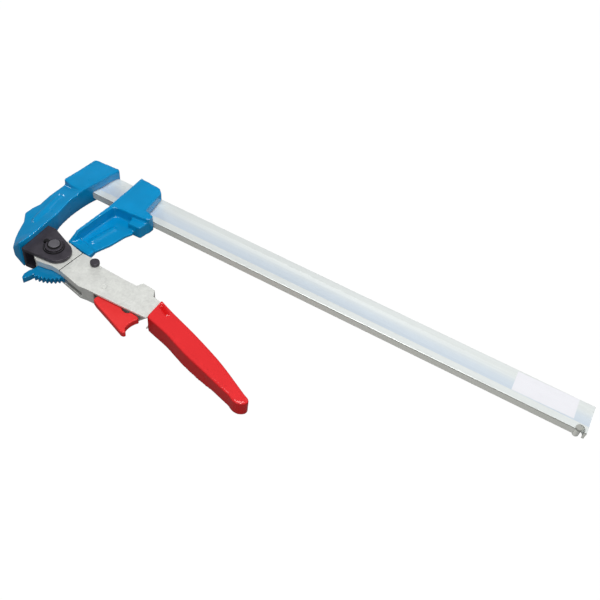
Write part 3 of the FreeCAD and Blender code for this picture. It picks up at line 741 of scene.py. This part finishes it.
class ClampLever(bpy.types.Operator):
    """Make the plated lever head and lever body, the stud, and the dark seam across the body"""

    bl_idname = "clamp.lever"
    bl_label = "Lever"

    def execute(self, context):
        look = finishes()
        sizes = context.scene.clamp_sizes
        eased("lever_head", look["zinc"], sizes.sheet_edge)
        eased("lever_body", look["zinc"], sizes.sheet_edge)
        eased("lever_stud", look["black"], sizes.stud_edge, segments=3)
        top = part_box("lever_body")[1].z / MM
        seam = prism_form(LEVER_SEAM, top - SEAM_SUNK, top + SEAM_PROUD)
        piece("lever_seam", seam, [look["oil"]], "lever")
        return {"FINISHED"}


class ClampTrigger(bpy.types.Operator):
    """Make the red trigger, and finish its pawl, pin and spring"""

    bl_idname = "clamp.trigger"
    bl_label = "Release trigger"

    def execute(self, context):
        look = finishes()
        edge = context.scene.clamp_sizes.trigger_edge
        eased("trigger", look["moulded"], edge, segments=3)
        paint(look["zinc"], "trigger_pin")
        paint(look["hard"], "pawl", "trigger_spring")
        return {"FINISHED"}


class ClampGrip(bpy.types.Operator):
    """Make the dipped grip with its soft edges and recess"""

    bl_idname = "clamp.grip"
    bl_label = "Dipped grip"

    def execute(self, context):
        form = slab_form("handle_grip")
        low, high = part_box("handle_grip")
        middle = Matrix.Translation((0, 0, -(low.z + high.z) / 2))
        bmesh.ops.scale(form, verts=form.verts, vec=(1, 1, GRIP_SWELL), space=middle)
        start = GRIP_TAIL_START * MM
        below = high.z - GRIP_TAIL_BELOW_TOP * MM
        tail = [v for v in form.verts if v.co.x > start and v.co.z < below]
        bmesh.ops.translate(form, verts=tail, vec=metres(GRIP_TAIL_MOVE))
        form = carve(form, prism_form(GRIP_RECESS, GRIP_RECESS_FLOOR, GRIP_RECESS_TOP))
        looks = [finishes()["dipped"]]
        made = piece("handle_grip_dipped", form, looks, "lever", ["handle_grip"])
        cast(made, context.scene.clamp_sizes.grip_grain, GRIP_PASSES)
        return {"FINISHED"}


class ClampStage(bpy.types.Operator):
    """Set up the camera, floor and studio light"""

    bl_idname = "clamp.stage"
    bl_label = "Stage"

    def execute(self, context):
        scene = context.scene
        add_camera(scene)
        add_world(scene)
        add_floor(scene)
        for lamp in LAMPS:
            add_lamp(scene, *lamp)
        return {"FINISHED"}


# Camera, solved from the bar's edges in the photograph: millimetres and radians
FOCAL_PIXELS = 753.97
FRAME_PIXELS = 600.0
SENSOR_WIDTH = 36.0
CAMERA_PLACE = (389.164, -424.412, 522.771)
CAMERA_TURN = (0.374922, 0.861914, 0.166292)

# What lights the object, and how white the camera sees the floor
WORLD_TINT = (0.93, 0.96, 1.0, 1.0)
WORLD_STRENGTH = 0.09
WHITE = (1.0, 1.0, 1.0, 1.0)
FLOOR_GREY = (0.16, 0.16, 0.16, 1.0)
FLOOR_GLOW = 1.16
FLOOR_GLOW_SHARE = 0.86
FLOOR_REACH = 4.0
FLOOR_HEIGHT = -0.4

# Square lamps: name, place and aim in metres, width in metres, power in watts
LAMPS = (
    ("top_panel", (0.08, -0.08, 1.2), (0.1, -0.05, 0.0), 0.6, 8.8),
    ("back_panel", (0.6, 0.95, 1.05), (0.1, -0.05, 0.0), 1.2, 2.6),
    ("front_light", (0.4, -0.6, 0.26), (0.3, 0.0, 0.0), 0.4, 1.0),
    ("edge_light", (0.5, -0.62, 0.78), (0.1, -0.08, 0.0), 0.08, 1.3),
    ("left_light", (-0.95, -0.2, 0.32), (0.15, -0.1, 0.0), 0.22, 1.8),
    ("right_light", (0.95, 0.5, 0.42), (0.1, -0.08, 0.0), 0.16, 1.7),
    ("back_light", (-0.75, 0.85, 0.35), (0.1, -0.08, 0.0), 0.25, 2.6),
)


def add_camera(scene):
    azimuth, elevation, roll = CAMERA_TURN
    flat = math.cos(elevation)
    back = Vector((math.sin(azimuth) * flat, -math.cos(azimuth) * flat, math.sin(elevation)))
    right = Vector((math.cos(azimuth), math.sin(azimuth), 0.0))
    up = back.cross(right)
    across = right * math.cos(roll) + up * math.sin(roll)
    upward = up * math.cos(roll) - right * math.sin(roll)
    data = bpy.data.cameras.new("camera")
    data.sensor_width = SENSOR_WIDTH
    data.lens = FOCAL_PIXELS / FRAME_PIXELS * SENSOR_WIDTH
    data.clip_start = 0.01
    camera = bpy.data.objects.new("camera", data)
    place = Matrix((across, upward, back)).transposed().to_4x4()
    place.translation = Vector(CAMERA_PLACE) * MM
    camera.matrix_world = place
    scene.collection.objects.link(camera)
    scene.camera = camera


def show_camera(tree, output, lit, white, share):
    """Shows the white shader to camera rays, up to the share, and the lit one to all other rays."""
    rays = tree.nodes.new("ShaderNodeLightPath")
    part = tree.nodes.new("ShaderNodeMath")
    part.operation = "MULTIPLY"
    part.inputs[1].default_value = share
    mix = tree.nodes.new("ShaderNodeMixShader")
    tree.links.new(rays.outputs["Is Camera Ray"], part.inputs[0])
    tree.links.new(part.outputs[0], mix.inputs[0])
    tree.links.new(lit.outputs[0], mix.inputs[1])
    tree.links.new(white.outputs[0], mix.inputs[2])
    tree.links.new(mix.outputs[0], output.inputs[0])


def add_world(scene):
    world = bpy.data.worlds.new("studio")
    world.use_nodes = True
    tree = world.node_tree
    tree.nodes.clear()
    output = tree.nodes.new("ShaderNodeOutputWorld")
    light = tree.nodes.new("ShaderNodeBackground")
    light.inputs["Color"].default_value = WORLD_TINT
    light.inputs["Strength"].default_value = WORLD_STRENGTH
    white = tree.nodes.new("ShaderNodeBackground")
    white.inputs["Color"].default_value = WHITE
    show_camera(tree, output, light, white, share=1.0)
    scene.world = world
    scene.view_settings.view_transform = "Standard"


def add_floor(scene):
    form = bmesh.new()
    bmesh.ops.create_grid(form, x_segments=2, y_segments=2, size=FLOOR_REACH)
    bmesh.ops.translate(form, verts=form.verts, vec=(0, 0, FLOOR_HEIGHT * MM))
    mesh = bpy.data.meshes.new("floor")
    form.to_mesh(mesh)
    form.free()
    material = bpy.data.materials.new("floor_paper")
    material.use_nodes = True
    tree = material.node_tree
    tree.nodes.clear()
    output = tree.nodes.new("ShaderNodeOutputMaterial")
    paper = tree.nodes.new("ShaderNodeBsdfDiffuse")
    paper.inputs["Color"].default_value = FLOOR_GREY
    glow = tree.nodes.new("ShaderNodeEmission")
    glow.inputs["Strength"].default_value = FLOOR_GLOW
    show_camera(tree, output, paper, glow, share=FLOOR_GLOW_SHARE)
    mesh.materials.append(material)
    floor = bpy.data.objects.new("floor", mesh)
    scene.collection.objects.link(floor)


def add_lamp(scene, name, place, aim, width, power):
    data = bpy.data.lights.new(name, "AREA")
    data.shape = "SQUARE"
    data.size = width
    data.energy = power
    lamp = bpy.data.objects.new(name, data)
    lamp.location = place
    lamp.rotation_euler = (Vector(aim) - Vector(place)).to_track_quat("-Z", "Y").to_euler()
    scene.collection.objects.link(lamp)


class ClampPanel(bpy.types.Panel):
    """Lists the clamp's pieces, sizes and colours"""

    bl_idname = "VIEW3D_PT_bar_clamp"
    bl_label = "Bar Clamp"
    bl_space_type = "VIEW_3D"
    bl_region_type = "UI"
    bl_category = "Bar Clamp"

    def draw(self, context):
        for maker in MAKERS:
            self.layout.operator(maker.bl_idname)
        for group in (context.scene.clamp_sizes, context.scene.clamp_colours):
            for name in group.__annotations__:
                self.layout.prop(group, name)


MAKERS = (
    ClampBar, ClampLabel, ClampFixedJaw, ClampSlidingJaw, ClampRivets, ClampBracket, ClampPivot,
    ClampSector, ClampLever, ClampTrigger, ClampGrip, ClampStage,
)
GROUPS = (ClampSizes, ClampColours)


def register():
    for item in GROUPS + MAKERS + (ClampPanel,):
        bpy.utils.register_class(item)
    bpy.types.Scene.clamp_sizes = bpy.props.PointerProperty(type=ClampSizes)
    bpy.types.Scene.clamp_colours = bpy.props.PointerProperty(type=ClampColours)


def unregister():
    del bpy.types.Scene.clamp_colours
    del bpy.types.Scene.clamp_sizes
    for item in reversed(GROUPS + MAKERS + (ClampPanel,)):
        bpy.utils.unregister_class(item)


def main():
    register()
    for maker in MAKERS:
        group, name = maker.bl_idname.split(".")
        getattr(getattr(bpy.ops, group), name)()


if __name__ == "__main__":
    main()
